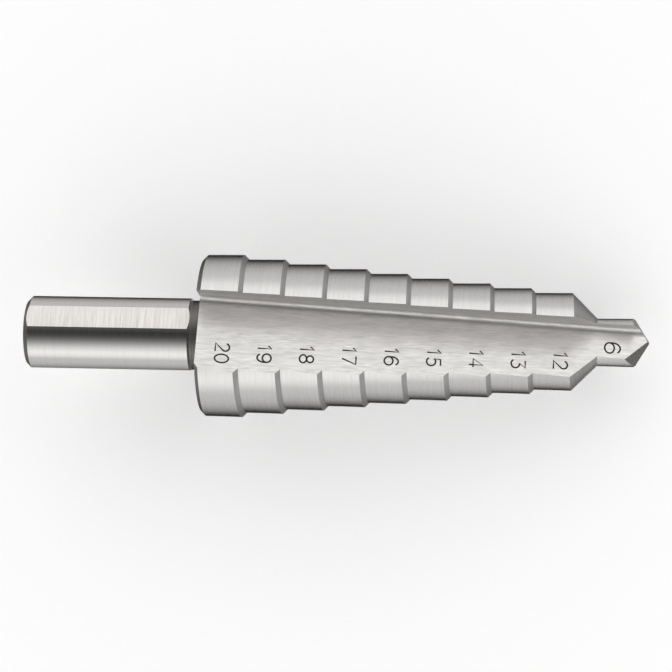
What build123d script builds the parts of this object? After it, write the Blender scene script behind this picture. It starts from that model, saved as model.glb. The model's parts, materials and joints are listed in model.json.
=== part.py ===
from build123d import *
import os
from math import asin, cos, hypot, radians, sin, sqrt, tan

# Step drill for sheet metal, in one piece: nine marked steps, a pilot point and a shank with three flats.
# It is built upright, with its axis on Z and one flute open towards +X, and laid down at the end.

# Steps
pilot_diameter = 6.0
smallest_step = 12.0
largest_step = 20.0
step_increment = 1.0
step_pitch = 5.0
pilot_length = 4.2
rear_land = 5.1
rear_chamfer = 0.65
shoulder_angle = 45.0

# Relief behind the cutting edges
tooth_arc = 120.0
radial_relief = 0.15
axial_relief = 0.45
back_taper = 0.7

# Flutes, parallel to the line through the steps' corners
edge_angle = 32.0
rake_lean = 10.0
flute_depth = 4.9
flute_angle = 70.0
root_radius = 0.8
groove_heading = 35.0

# Split point
point_angle = 115.0
lip_relief = 17.0
heel_clearance = 53.5
heel_heading = 14.0
chisel_reach = 0.28
gash_angle = 40.0
gash_heading = 25.0
gash_floor = 0.2
gash_reach = 2.2
gash_start = 0.35
gash_width = 0.85

# Shank
shank_diameter = 9.0
shank_length = 20.15
shank_chamfer = 0.6
neck_diameter = 8.5
neck_length = 1.3
flat_count = 3
flat_width = 2.85
flat_heading = 28.0

# Reach of a solid into the one that it joins
overlap = 0.2

# Heights up the axis
step_count = round((largest_step - smallest_step) / step_increment) + 1
neck_taper = (shank_diameter - neck_diameter) / 2
rear_face = shank_length + neck_taper + neck_length
first_front = rear_face + rear_land
last_front = first_front + (step_count - 1) * step_pitch
shoulder_slope = tan(radians(shoulder_angle))
pilot_start = last_front + (smallest_step - pilot_diameter) / 2 / shoulder_slope
pilot_front = pilot_start + pilot_length
point_height = pilot_diameter / 2 / tan(radians(point_angle / 2))
tip = pilot_front + point_height

# Centre of the relieved lands, off the axis so that the radius falls from the edge to the heel
half_arc = radians(tooth_arc / 2)
land_shift = radial_relief / 2 / sin(half_arc)
edge_turn = radians(edge_angle)


def tooth_ring(radius, front, back, stock):
    """One step of one tooth, with its shoulder leaning back to the heel and stock left for the point."""
    land = hypot(radius * cos(edge_turn) - land_shift, radius * sin(edge_turn))
    taper = tan(radians(back_taper))
    lean = axial_relief / 2 / radius / sin(half_arc)
    centre = Vector(land_shift, 0, front + stock + lean * (land_shift - radius * cos(edge_turn)))
    shoulder_plane = Plane(centre, x_dir=(1, 0, lean), z_dir=(0, -1, 0))
    nose = land / shoulder_slope
    depth = front + stock - back + axial_relief
    with BuildPart() as ring:
        with BuildSketch(Plane.XZ):
            with BuildLine():
                Polyline(
                    (land_shift, back),
                    (land_shift - land + (front - back) * taper, back),
                    (land_shift - land - (stock + nose) * taper, front + stock + nose),
                    (land_shift, front + stock + nose),
                    close=True,
                )
            make_face()
        revolve(axis=Axis((land_shift, 0, 0), (0, 0, 1)), revolution_arc=180)
        with BuildSketch(shoulder_plane):
            with BuildLine():
                Polyline((0, nose), (land + depth * shoulder_slope, -depth), (0, -depth), close=True)
            make_face()
        revolve(axis=Axis(centre, (-lean, 0, 1)), mode=Mode.INTERSECT)
    return ring.part


rings = []
for step in range(step_count):
    step_front = first_front + step * step_pitch
    step_reach = rear_land if step == 0 else step_pitch + overlap
    step_radius = (largest_step - step * step_increment) / 2
    rings.append(tooth_ring(step_radius, step_front, step_front - step_reach, 0))
rings.append(tooth_ring(pilot_diameter / 2, pilot_front, last_front, point_height))

with BuildPart() as tooth:
    add(rings)

# Flute outline across the axis at the largest step's corner, and its way towards the point
rake_turn = radians(rake_lean)
back_wall_turn = radians(flute_angle - rake_lean)
edge_corner = Vector(largest_step / 2 * cos(edge_turn), -largest_step / 2 * sin(edge_turn))
root_corner = edge_corner + Vector(-cos(rake_turn), sin(rake_turn)) * flute_depth
wall_reach = largest_step
rake_end = root_corner + Vector(cos(rake_turn), -sin(rake_turn)) * wall_reach
back_wall_end = root_corner + Vector(cos(back_wall_turn), sin(back_wall_turn)) * wall_reach
groove_slope = step_increment / 2 / step_pitch
groove_turn = radians(groove_heading)
groove_way = Vector(-groove_slope * cos(groove_turn), groove_slope * sin(groove_turn), 1)

with BuildPart() as flute:
    with BuildSketch(Plane.XY.offset(first_front)):
        with BuildLine():
            FilletPolyline(rake_end, root_corner, back_wall_end, radius=root_radius)
            Line(back_wall_end, rake_end)
        make_face()
    extrude(dir=groove_way, amount=tip, both=True)

# Gash that thins the web at the lip's inner end
gash_depth = (gash_reach - gash_floor) / tan(radians(gash_angle))
gash_turn = radians(gash_heading)
gash_way = Vector(-sin(gash_turn), -cos(gash_turn), 0)
gash_plane = Plane(gash_way * gash_start, x_dir=(cos(gash_turn), -sin(gash_turn), 0), z_dir=gash_way)
with BuildPart() as gash:
    with BuildSketch(gash_plane):
        with BuildLine():
            Polyline((gash_floor, tip), (gash_reach, tip - gash_depth), (gash_reach, tip), close=True)
        make_face()
    extrude(amount=gash_width)


def rake_wall_turn(radius, height):
    """Angle, from +X towards -Y, at which the rake wall comes out of a land of this radius."""
    offset = largest_step / 2 * sin(edge_turn - rake_turn)
    offset -= (height - first_front) * groove_slope * sin(groove_turn - rake_turn)
    return rake_turn + asin(offset / radius)


def back_wall_turn_at(radius, height):
    """Angle, from +X towards +Y, at which the flute's back wall comes out of a land of this radius."""
    corner = root_corner + groove_way * (height - first_front)
    offset = corner.X * sin(back_wall_turn) - corner.Y * cos(back_wall_turn)
    return back_wall_turn - asin(offset / radius)


# Four facets of the point; the lip starts where the rake wall meets the pilot's corner
lip_turn = rake_wall_turn(pilot_diameter / 2, pilot_front)
lip_slope = 1 / tan(radians(point_angle / 2))
relief_slope = tan(radians(lip_relief))
primary_normal = Vector(
    lip_slope * cos(lip_turn) - relief_slope * sin(lip_turn),
    -lip_slope * sin(lip_turn) - relief_slope * cos(lip_turn),
    1,
)
heel_turn = radians(heel_heading)
heel_way = Vector(-cos(heel_turn), -sin(heel_turn), 0)
secondary_normal = heel_way * tan(radians(heel_clearance)) + Vector(0, 0, 1)
primary_facet = Plane((0, 0, tip), z_dir=primary_normal)
secondary_facet = Plane(Vector(0, 0, tip) + heel_way * chisel_reach, z_dir=secondary_normal)

flat_distance = sqrt((shank_diameter / 2) ** 2 - (flat_width / 2) ** 2)
flat_cut = shank_diameter / 2 - flat_distance

with BuildPart() as upright:
    with PolarLocations(0, 2):
        add(tooth.part)
    # Flat rear face with its chamfer
    with BuildSketch(Plane.XZ):
        with BuildLine():
            Polyline(
                (0, rear_face),
                (largest_step / 2 - rear_chamfer, rear_face),
                (largest_step / 2 - rear_chamfer + rear_land, rear_face + rear_land),
                (largest_step / 2 - rear_chamfer + rear_land, tip + rear_land),
                (0, tip + rear_land),
                close=True,
            )
        make_face()
    revolve(axis=Axis.Z, mode=Mode.INTERSECT)
    # Flutes, gashes and the four facets of the point
    with PolarLocations(0, 2):
        add(flute.part, mode=Mode.SUBTRACT)
        add(gash.part, mode=Mode.SUBTRACT)
    for facet in (primary_facet, secondary_facet):
        for turn in (0, 180):
            turned_facet = Plane(facet.origin.rotate(Axis.Z, turn), z_dir=facet.z_dir.rotate(Axis.Z, turn))
            split(bisect_by=turned_facet, keep=Keep.BOTTOM)
    # Shank and neck
    with BuildSketch(Plane.XZ):
        with BuildLine():
            Polyline(
                (0, 0),
                (shank_diameter / 2 - shank_chamfer, 0),
                (shank_diameter / 2, shank_chamfer),
                (shank_diameter / 2, shank_length),
                (neck_diameter / 2, shank_length + neck_taper),
                (neck_diameter / 2, rear_face + overlap),
                (0, rear_face + overlap),
                close=True,
            )
        make_face()
    revolve(axis=Axis.Z)
    # Three flats that the chuck's jaws bear on
    with BuildSketch():
        with PolarLocations(flat_distance + flat_cut, flat_count, start_angle=-flat_heading):
            Rectangle(2 * flat_cut, shank_diameter)
    extrude(amount=shank_length + neck_taper, mode=Mode.SUBTRACT)

# At rest it lies on the far flute: on the cutting edge's corners at both end steps and on one heel corner
heel_radius = largest_step / 2 - radial_relief
heel_height = first_front - axial_relief
back_turn = back_wall_turn_at(heel_radius, heel_height)
large_corner = Vector(-largest_step / 2 * cos(edge_turn), largest_step / 2 * sin(edge_turn), first_front)
small_edge_turn = rake_wall_turn(smallest_step / 2, last_front)
small_corner = Vector(
    -smallest_step / 2 * cos(small_edge_turn), smallest_step / 2 * sin(small_edge_turn), last_front
)
heel_corner = Vector(-heel_radius * cos(back_turn), -heel_radius * sin(back_turn), heel_height)
up = (small_corner - large_corner).cross(heel_corner - large_corner)
resting = Plane(large_corner, x_dir=(0, 0, 1), z_dir=up)
laid = resting.to_local_coords(upright.part)
box = laid.bounding_box()

with BuildPart() as step_drill:
    with Locations((-box.center().X, -box.center().Y, -box.min.Z)):
        add(laid)
step_drill.part.label = "step_drill"

os.makedirs("parts", exist_ok=True)
export_step(step_drill.part, "parts/step_drill.step")
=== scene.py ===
import json
import math

import bpy
from mathutils import Matrix, Vector


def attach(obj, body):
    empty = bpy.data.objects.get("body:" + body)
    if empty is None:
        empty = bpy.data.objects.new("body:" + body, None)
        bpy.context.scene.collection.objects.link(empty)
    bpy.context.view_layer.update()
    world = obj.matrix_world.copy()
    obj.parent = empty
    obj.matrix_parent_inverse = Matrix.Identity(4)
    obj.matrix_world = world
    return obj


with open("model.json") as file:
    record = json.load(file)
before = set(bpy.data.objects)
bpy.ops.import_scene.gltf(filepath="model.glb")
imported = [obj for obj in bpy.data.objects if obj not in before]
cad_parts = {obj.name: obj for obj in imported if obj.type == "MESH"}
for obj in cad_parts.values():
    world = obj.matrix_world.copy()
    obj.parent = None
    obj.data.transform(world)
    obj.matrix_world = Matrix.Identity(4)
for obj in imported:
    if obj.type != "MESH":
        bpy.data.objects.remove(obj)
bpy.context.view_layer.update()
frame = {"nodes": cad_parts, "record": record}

# Drill body: one bar of hardened high speed steel, fluted and then ground bright all over.
# Each surface keeps the lines of the wheel that finished it: round the lands and the shank,
# along the flutes, and across the flats. The CAD node stays, and its faces get these finishes.

shank_end = next(m for m in frame["record"]["mounts"] if m["name"] == "shank_end")
axis_start = Vector(shank_end["pos_m"])
tipward = -Vector(shank_end["axis"])
flute_roll = math.radians(1.746)
upright = (Vector((0, 0, 1)) - tipward * tipward.z).normalized()
flute_open = upright * math.cos(flute_roll) + tipward.cross(upright) * math.sin(flute_roll)
flute_side = tipward.cross(flute_open)
drill_axes = Matrix((tipward, flute_open, flute_side))

neck_start = 0.0204
rear_face = 0.0217
first_front = 0.0268
step_pitch = 0.005
step_count = 9
largest_radius = 0.010
radius_drop = 0.0005
last_front = first_front + (step_count - 1) * step_pitch
pilot_start = last_front + 0.003
pilot_front = pilot_start + 0.0042
point_start = pilot_front - 0.0025
pilot_radius = 0.003
shank_radius = 0.0045
back_wall_turn = math.radians(60)
groove_slope = radius_drop / step_pitch
groove_heading = math.radians(35)
groove_across = Vector((0, -math.cos(groove_heading), math.sin(groove_heading)))
groove_fall = Vector((1, 0, 0)) + groove_slope * groove_across
back_wall_out = Vector((0, math.cos(back_wall_turn), math.sin(back_wall_turn)))
back_wall_normal = back_wall_out.cross(groove_fall).normalized()
line_lean = 0.045
line_way = groove_fall - line_lean * back_wall_out

# A face's finish changes where it looks this much along the axis, away from it or across the flute
end_facing = 0.3
round_facing = 0.96
rake_facing = 0.93
cylinder_slack = 0.00012
relief_slack = 0.00035


def land_radius(along):
    """Radius of the cylinder that a point at this distance from the shank's end should lie on."""
    if along > pilot_start:
        return pilot_radius
    step = max(0, math.ceil((along - first_front) / step_pitch))
    return largest_radius - min(step, step_count - 1) * radius_drop


def finish_of(centre, normal):
    """Which finish a face of the drill gets, from where it lies and which way it looks."""
    place = drill_axes @ (centre - axis_start)
    facing = drill_axes @ normal
    along = place.x
    radial = Vector((0, place.y, place.z))
    radius = radial.length
    outward = facing.dot(radial.normalized())
    if along > point_start and abs(facing.x) > end_facing:
        return "point"
    if along < rear_face - cylinder_slack:
        if facing.x < -end_facing or (along > neck_start and facing.x < end_facing):
            return "turned"
        on_cylinder = outward > round_facing and radius > shank_radius - cylinder_slack
        return "shank" if on_cylinder else "flat"
    if abs(facing.x) > end_facing:
        return "shoulder" if facing.x > 0 else "turned"
    if outward > round_facing and abs(radius - land_radius(along)) < relief_slack:
        return "land"
    return "rake" if abs(facing.z) > rake_facing else "flute"


def srgb(code):
    """A #rrggbb colour as linear red, green, blue and alpha."""
    parts = [int(code[i : i + 2], 16) / 255 for i in (1, 3, 5)]
    return [c / 12.92 if c <= 0.04045 else ((c + 0.055) / 1.055) ** 2.4 for c in parts] + [1]


def node(tree, kind, inputs=None, **settings):
    """Adds a node with its settings, and its inputs given as values or as other nodes' outputs."""
    made = tree.nodes.new(kind)
    for name, value in settings.items():
        setattr(made, name, value)
    for socket, value in (inputs or {}).items():
        if isinstance(value, bpy.types.NodeSocket):
            tree.links.new(value, made.inputs[socket])
        else:
            made.inputs[socket].default_value = value
    return made


def follow_lines(tree, run):
    """Where a face lies as its grinding lines see it, and the way in which they spread a highlight."""
    place = node(tree, "ShaderNodeTexCoord")
    to_axes = {"Location": -(drill_axes @ axis_start), "Rotation": drill_axes.to_euler()}
    spot = node(tree, "ShaderNodeMapping", {"Vector": place.outputs["Object"], **to_axes}).outputs[0]
    part = node(tree, "ShaderNodeSeparateXYZ", {"Vector": spot})
    along, out, aside = part.outputs["X"], part.outputs["Y"], part.outputs["Z"]
    if run == "along":
        # Both flutes are laid on one another, and their lines fall with the groove towards the axis
        side = node(tree, "ShaderNodeMath", {0: out}, operation="SIGN").outputs[0]
        flip = node(tree, "ShaderNodeCombineXYZ", {"X": 1.0, "Y": side, "Z": side})
        one_side = node(tree, "ShaderNodeVectorMath", {0: spot, 1: flip.outputs[0]}, operation="MULTIPLY")
        far = node(tree, "ShaderNodeCombineXYZ", {"X": along, "Y": along, "Z": along})
        back_up = {0: far.outputs[0], 1: (0, -line_way.y, -line_way.z), 2: one_side.outputs[0]}
        spot = node(tree, "ShaderNodeVectorMath", back_up, operation="MULTIPLY_ADD").outputs[0]
        normal = node(tree, "ShaderNodeNewGeometry").outputs["Normal"]
        across = {0: tuple(tipward), 1: normal}
        return spot, node(tree, "ShaderNodeVectorMath", across, operation="CROSS_PRODUCT").outputs[0]
    from_axis = node(tree, "ShaderNodeVectorMath", {0: spot, 1: (0, 1, 1)}, operation="MULTIPLY")
    length = node(tree, "ShaderNodeVectorMath", {0: from_axis.outputs[0]}, operation="LENGTH")
    radius = length.outputs["Value"]
    if run == "rings":
        spot = node(tree, "ShaderNodeCombineXYZ", {"X": along, "Y": radius, "Z": out}).outputs[0]
    slope = node(tree, "ShaderNodeCombineXYZ", {"X": radius, "Y": out, "Z": aside})
    from_axes = {"Vector": slope.outputs[0], "Rotation": drill_axes.transposed().to_euler()}
    return spot, node(tree, "ShaderNodeMapping", from_axes, vector_type="VECTOR").outputs[0]


def ground_steel(name, run, apart, length, light, dark, rim, roughness, depth):
    """High speed steel under a wheel's fine lines: round the axis, in rings about it, or along it.

    Real lines lie a few hundredths of a mm apart. They are drawn 0.1 to 0.16 mm apart, so that they show.
    """
    material = bpy.data.materials.new(name)
    material.use_nodes = True
    tree = material.node_tree
    tree.nodes.clear()
    spot, spread = follow_lines(tree, run)
    fast, slow = 1 / apart, 1 / length
    stretch = {"round": (fast, slow, slow), "rings": (fast, fast, slow), "along": (slow, fast, fast)}[run]
    pattern = node(tree, "ShaderNodeMapping", {"Vector": spot, "Scale": stretch}).outputs[0]
    fine_lines = {"Vector": pattern, "Scale": 1.0, "Detail": 4.0, "Roughness": 0.6}
    fine = node(tree, "ShaderNodeTexNoise", fine_lines).outputs["Fac"]
    broad = node(tree, "ShaderNodeTexNoise", {"Vector": pattern, "Scale": 0.35, "Detail": 2.0}).outputs["Fac"]
    both = node(tree, "ShaderNodeMix", {"Factor": 0.4, "A": fine, "B": broad}).outputs[0]
    tone = node(tree, "ShaderNodeMapRange", {"Value": both, "From Min": 0.34, "From Max": 0.66}).outputs[0]
    two_tones = {"Factor": tone, "A": srgb(dark), "B": srgb(light)}
    colour = node(tree, "ShaderNodeMix", two_tones, data_type="RGBA")
    smoother = {"From Min": 0.3, "From Max": 0.7, "To Min": roughness * 1.2, "To Max": roughness * 0.8}
    rough = node(tree, "ShaderNodeMapRange", {"Value": fine, **smoother})
    bump = node(tree, "ShaderNodeBump", {"Height": fine, "Strength": 1.0, "Distance": depth})
    steel = node(
        tree,
        "ShaderNodeBsdfPrincipled",
        {
            "Base Color": colour.outputs["Result"],
            "Metallic": 1.0,
            "Roughness": rough.outputs[0],
            "Anisotropic": 0.7,
            # Rim tint colours the grazing reflection; the dark tints given for the lands and the shank are
            # painted shade for their dark outlines
            "Specular Tint": srgb(rim),
            "Normal": bump.outputs[0],
            "Tangent": spread,
        },
    )
    node(tree, "ShaderNodeOutputMaterial", {"Surface": steel.outputs[0]})
    return material


finishes = {
    # Lands, ground as cylinders: a soft even gloss, with hairlines round the drill, and dark outlines that
    # are painted shade: a near-black rim tint darkens the steel's grazing reflection
    "land": ground_steel(
        "cylinder_ground_steel", "round", apart=0.0001, length=0.012,
        light="#c4c3c1", dark="#bcbbb9", rim="#222123", roughness=0.29, depth=5e-8,
    ),
    # Shoulders, ground by the wheel's dressed corner: duller, with the lines as rings
    "shoulder": ground_steel(
        "shoulder_ground_steel", "rings", apart=0.00012, length=0.008,
        light="#acaaa9", dark="#989695", rim="#5c5a5d", roughness=0.34, depth=1e-7,
    ),
    # Back walls of the flutes, deep ground in one pass: matt, with short bright streaks along the groove
    "flute": ground_steel(
        "flute_ground_steel", "along", apart=0.00014, length=0.0015,
        light="#dddbd9", dark="#c6c4c1", rim="#f0eff0", roughness=0.34, depth=1e-7,
    ),
    # Rake walls, ground by the wheel's face: the back walls' steel in lighter colours, painted light for the
    # brighter band that the rake wall shows
    "rake": ground_steel(
        "rake_ground_steel", "along", apart=0.00014, length=0.0015,
        light="#ebe9e8", dark="#d6d4d2", rim="#ffffff", roughness=0.34, depth=1e-7,
    ),
    # Shank, ground to size and polished: sharp reflections from end to end, and dark outlines that are
    # painted shade, from a dark rim tint on the grazing reflection
    "shank": ground_steel(
        "polished_shank_steel", "round", apart=0.00013, length=0.015,
        light="#c0bfbd", dark="#bab9b7", rim="#403e41", roughness=0.17, depth=4e-8,
    ),
    # Flats, and the taper beside the neck, ground across: bright and matt, with lines that show
    "flat": ground_steel(
        "cross_ground_flat_steel", "round", apart=0.00009, length=0.003,
        light="#d8d5d2", dark="#bbb7b4", rim="#ffffff", roughness=0.36, depth=3e-7,
    ),
    # Neck, chamfers and rear faces, left as turned before hardening: dark and dull, with rings
    "turned": ground_steel(
        "turned_steel", "rings", apart=0.00016, length=0.01,
        light="#82817e", dark="#72716d", rim="#6c6a6d", roughness=0.5, depth=3e-7,
    ),
    # Facets of the point, ground last on a finer wheel: flat grey planes
    "point": ground_steel(
        "point_ground_steel", "along", apart=0.00012, length=0.002,
        light="#a9a8a5", dark="#8f8e8b", rim="#c0bec1", roughness=0.3, depth=3e-7,
    ),
}
drill = frame["nodes"]["step_drill"]
drill.data.materials.clear()
for material in finishes.values():
    drill.data.materials.append(material)
finish_order = list(finishes)
for face in drill.data.polygons:
    face.material_index = finish_order.index(finish_of(face.center, face.normal))

# Size marks: the diameter that each step bores, burnt into the flute's back wall beside its step
# with a laser, in one plain stroke. A mark is a dark line about 0.2 mm wide that stands a hair proud.

millimetre = 0.001
mark_height = 0.00168
mark_width = 0.00114
pilot_mark_height = 0.00188
pilot_mark_width = 0.00142
narrow_width = 0.00076
mark_gap = 0.00038
stroke_width = 0.00021
stroke_height = 0.000016
behind_front = 0.0019
mark_pitch = step_pitch * 1.014
first_mark_out = 0.00764
mark_drop = 0.0003
pilot_mark_out = 0.00294
edge_turn = math.radians(32)
rake_turn = math.radians(10)
flute_depth = 0.0049
edge_at = largest_radius * Vector((0, math.cos(edge_turn), -math.sin(edge_turn)))
root_at = edge_at + flute_depth * Vector((0, -math.cos(rake_turn), math.sin(rake_turn)))
root_at.x = first_front


def bow(middle_x, middle_y, reach_x, reach_y, start, end, parts=14):
    """Points along part of an oval, from one angle in degrees to another."""
    points = []
    for i in range(parts + 1):
        turn = math.radians(start + (end - start) * i / parts)
        points.append((middle_x + reach_x * math.cos(turn), middle_y + reach_y * math.sin(turn)))
    return points


# Each figure's strokes, in a box one high and one wide
figure_strokes = {
    "0": [bow(0.5, 0.5, 0.5, 0.5, 90, 450, 28)],
    "1": [[(0.55, 0), (0.55, 1), (0.04, 0.76)]],
    "2": [bow(0.48, 0.72, 0.46, 0.28, 165, -30) + [(0.02, 0), (1, 0)]],
    "3": [[(0.08, 1), (0.92, 1), (0.42, 0.6)] + bow(0.46, 0.3, 0.5, 0.3, 88, -150)],
    "4": [[(0.72, 0), (0.72, 1), (0, 0.3), (1, 0.3)]],
    "5": [[(0.88, 1), (0.16, 1), (0.1, 0.54)] + bow(0.46, 0.32, 0.5, 0.32, 128, -150)],
    "6": [bow(0.5, 0.31, 0.5, 0.31, 90, 450, 24), [(0, 0.31)] + bow(0.52, 0.52, 0.52, 0.48, 180, 38)],
    "7": [[(0.02, 1), (0.98, 1), (0.36, 0)]],
    "8": [bow(0.5, 0.755, 0.4, 0.245, -90, 270, 22), bow(0.5, 0.255, 0.48, 0.255, 90, 450, 22)],
    "9": [bow(0.5, 0.69, 0.5, 0.31, 90, 450, 24), [(1, 0.69)] + bow(0.48, 0.48, 0.52, 0.48, 0, -142)],
}

# The burnt line as nodes: each stroke becomes a low strip of the line's width and height
strip_tree = bpy.data.node_groups.new("burnt_stroke", "GeometryNodeTree")
strip_inputs = {"Strokes": "Geometry", "Width": "Float", "Height": "Float", "Finish": "Material"}
for label, kind in strip_inputs.items():
    strip_tree.interface.new_socket(label, in_out="INPUT", socket_type="NodeSocket" + kind)
strip_tree.interface.new_socket("Marks", in_out="OUTPUT", socket_type="NodeSocketGeometry")
given = node(strip_tree, "NodeGroupInput").outputs
section_sizes = {"Width": given["Width"], "Height": given["Height"]}
section = node(strip_tree, "GeometryNodeCurvePrimitiveQuadrilateral", section_sizes)
level = node(strip_tree, "GeometryNodeSetCurveNormal", {"Curve": given["Strokes"]}, mode="Z_UP")
swept = {"Curve": level.outputs[0], "Profile Curve": section.outputs[0], "Fill Caps": True}
strips = node(strip_tree, "GeometryNodeCurveToMesh", swept)
real_strips = node(strip_tree, "GeometryNodeRealizeInstances", {"Geometry": strips.outputs[0]})
burnt_strips = {"Geometry": real_strips.outputs[0], "Material": given["Finish"]}
finished = node(strip_tree, "GeometryNodeSetMaterial", burnt_strips)
node(strip_tree, "NodeGroupOutput", {"Marks": finished.outputs[0]})

# Burnt steel: the laser leaves a dull brown-black oxide that is speckled at a tenth of a millimetre
burnt_line = bpy.data.materials.new("laser_burnt_steel")
burnt_line.use_nodes = True
burnt = burnt_line.node_tree
burnt.nodes.clear()
on_drill = node(burnt, "ShaderNodeTexCoord").outputs["Object"]
speckle = node(burnt, "ShaderNodeTexNoise", {"Vector": on_drill, "Scale": 9000.0, "Detail": 2.0})
browns = {"Factor": speckle.outputs["Fac"], "A": srgb("#1f1d1c"), "B": srgb("#3c3a37")}
burnt_tone = node(burnt, "ShaderNodeMix", browns, data_type="RGBA").outputs["Result"]
dull = {"Base Color": burnt_tone, "Metallic": 0.3, "Roughness": 0.62}
oxide = node(burnt, "ShaderNodeBsdfPrincipled", dull)
node(burnt, "ShaderNodeOutputMaterial", {"Surface": oxide.outputs[0]})

strokes = bpy.data.curves.new("size_marks", "CURVE")
strokes.dimensions = "3D"


def write_mark(words, centre_along, centre_out, height, full_width):
    """Adds a number's strokes on the back wall: its tops look to the point, and it reads outward."""
    widths = [narrow_width if figure == "1" else full_width for figure in words]
    left = centre_out - (sum(widths) + (len(words) - 1) * mark_gap) / 2
    for figure, width in zip(words, widths):
        for points in figure_strokes[figure]:
            spline = strokes.splines.new("POLY")
            spline.points.add(len(points) - 1)
            for spot, (x, y) in zip(spline.points, points):
                spot.co = (centre_along + (y - 0.5) * height, left + x * width, 0, 1)
        left += width + mark_gap


for step in range(step_count):
    diameter = round(2 * (largest_radius - step * radius_drop) / millimetre)
    mark_out = first_mark_out - step * mark_drop
    write_mark(str(diameter), step * mark_pitch - behind_front, mark_out, mark_height, mark_width)
pilot_mark_along = pilot_start - first_front + behind_front
write_mark("6", pilot_mark_along, pilot_mark_out, pilot_mark_height, pilot_mark_width)

stroke_object = bpy.data.objects.new("mark_strokes", strokes)
bpy.context.scene.collection.objects.link(stroke_object)
burner = stroke_object.modifiers.new("burnt_stroke", "NODES")
burner.node_group = strip_tree
sockets = {item.name: item.identifier for item in strip_tree.interface.items_tree}
burner[sockets["Width"]] = stroke_width
burner[sockets["Height"]] = stroke_height
burner[sockets["Finish"]] = burnt_line
bpy.context.view_layer.update()
drawn = stroke_object.evaluated_get(bpy.context.evaluated_depsgraph_get())
size_marks = bpy.data.objects.new("size_marks", bpy.data.meshes.new_from_object(drawn))
bpy.data.objects.remove(stroke_object)
bpy.context.scene.collection.objects.link(size_marks)

to_row = drill_axes.transposed()
wall_axes = Matrix((groove_fall.normalized(), back_wall_out, back_wall_normal)).transposed()
wall_place = (to_row @ wall_axes).to_4x4()
wall_place.translation = axis_start + to_row @ root_at
size_marks.data.transform(wall_place)
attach(size_marks, "root")

# Floor, light and camera: the drill lies on a plain white table in a light tent, with the lens above it.
# The tent is bright in a ring, and open and so dark round the lens and at both ends of the drill.

table_reach = 2.0
corners = [(x * table_reach, y * table_reach, 0) for x, y in ((-1, -1), (1, -1), (1, 1), (-1, 1))]
table_mesh = bpy.data.meshes.new("table")
table_mesh.from_pydata(corners, [], [(0, 1, 2, 3)])
table = bpy.data.objects.new("table", table_mesh)
bpy.context.scene.collection.objects.link(table)

# White board: it looks white to the lens and in the steel, and sheds no more light on the drill
own_white = 0.19
table_finish = bpy.data.materials.new("white_table")
table_finish.use_nodes = True
board = table_finish.node_tree
board.nodes.clear()
ray = node(board, "ShaderNodeLightPath").outputs
seen = node(board, "ShaderNodeMath", {0: ray["Is Camera Ray"], 1: ray["Is Glossy Ray"]}, operation="MAXIMUM")
either = {0: seen.outputs[0], 1: ray["Is Transmission Ray"]}
seen = node(board, "ShaderNodeMath", either, operation="MAXIMUM").outputs[0]
board_tones = {"Factor": seen, "A": srgb("#e6e6e6"), "B": srgb("#ffffff")}
board_tone = node(board, "ShaderNodeMix", board_tones, data_type="RGBA").outputs["Result"]
paper = node(board, "ShaderNodeBsdfDiffuse", {"Color": board_tone})
whiter = node(board, "ShaderNodeMath", {0: seen, 1: own_white}, operation="MULTIPLY").outputs[0]
white = node(board, "ShaderNodeEmission", {"Color": srgb("#ffffff"), "Strength": whiter})
sheet = node(board, "ShaderNodeAddShader", {0: paper.outputs[0], 1: white.outputs[0]})
node(board, "ShaderNodeOutputMaterial", {"Surface": sheet.outputs[0]})
table.data.materials.append(table_finish)

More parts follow.
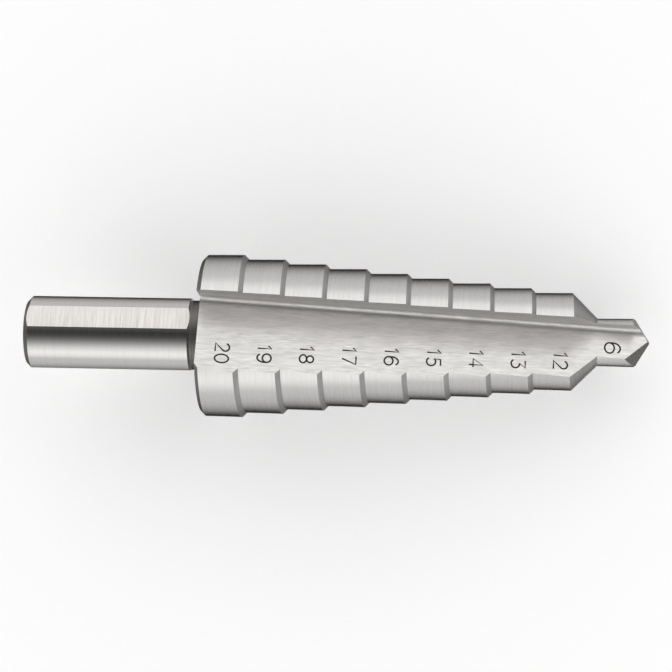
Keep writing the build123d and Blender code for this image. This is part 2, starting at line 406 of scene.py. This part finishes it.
# Light tent: its brightness by degrees from straight up, and by how near to the drill's ends
tent_stops = {0: 0.015, 12: 0.05, 24: 0.18, 34: 0.37, 48: 0.72, 64: 1.0, 74: 0.95, 82: 0.8, 90: 0.6}
tent = bpy.data.worlds.new("light_tent")
bpy.context.scene.world = tent
tent.use_nodes = True
sky = tent.node_tree
sky.nodes.clear()
looking = node(sky, "ShaderNodeTexCoord").outputs["Generated"]
way = node(sky, "ShaderNodeSeparateXYZ", {"Vector": looking}).outputs
from_top = node(sky, "ShaderNodeMath", {0: way["Z"]}, operation="ARCCOSINE").outputs[0]
half_turn = node(sky, "ShaderNodeMath", {0: from_top, 1: math.pi}, operation="DIVIDE").outputs[0]
glow = node(sky, "ShaderNodeValToRGB", {"Fac": half_turn})
while len(glow.color_ramp.elements) < len(tent_stops):
    glow.color_ramp.elements.new(0.5)
for stop, (degrees, brightness) in zip(glow.color_ramp.elements, tent_stops.items()):
    stop.position = degrees / 180
    stop.color = (brightness, brightness, brightness, 1)
end_on = node(sky, "ShaderNodeMath", {0: way["X"]}, operation="ABSOLUTE").outputs[0]
dark_ends = {"From Min": 0.66, "From Max": 0.88, "To Min": 1.66, "To Max": 0.25}
strength = node(sky, "ShaderNodeMapRange", {"Value": end_on, **dark_ends}, interpolation_type="SMOOTHSTEP")
cloth_look = {"Color": glow.outputs["Color"], "Strength": strength.outputs[0]}
cloth = node(sky, "ShaderNodeBackground", cloth_look)
node(sky, "ShaderNodeOutputWorld", {"Surface": cloth.outputs[0]})

focal_length = 144.77
sensor_width = 36
lens_distance = 0.3297
lens_tilt = math.radians(4.82)
lens_roll = math.radians(1.028)
picture_width = 672
lens_shift = 1.69 / picture_width
aim_past_front = 0.011125
aim_along = first_front + aim_past_front
toward_lens = tipward * math.sin(lens_tilt) + flute_open * math.cos(lens_tilt)
level_right = tipward * math.cos(lens_tilt) - flute_open * math.sin(lens_tilt)
level_up = -flute_side
right = level_right * math.cos(lens_roll) + level_up * math.sin(lens_roll)
up = level_up * math.cos(lens_roll) - level_right * math.sin(lens_roll)
camera_data = bpy.data.cameras.new("camera")
camera_data.lens = focal_length
camera_data.sensor_width = sensor_width
camera_data.shift_y = lens_shift
camera = bpy.data.objects.new("camera", camera_data)
bpy.context.scene.collection.objects.link(camera)
camera_place = Matrix((right, up, toward_lens)).transposed().to_4x4()
camera_place.translation = axis_start + tipward * aim_along + toward_lens * lens_distance
camera.matrix_world = camera_place
bpy.context.scene.camera = camera
bpy.context.scene.view_settings.view_transform = "Standard"
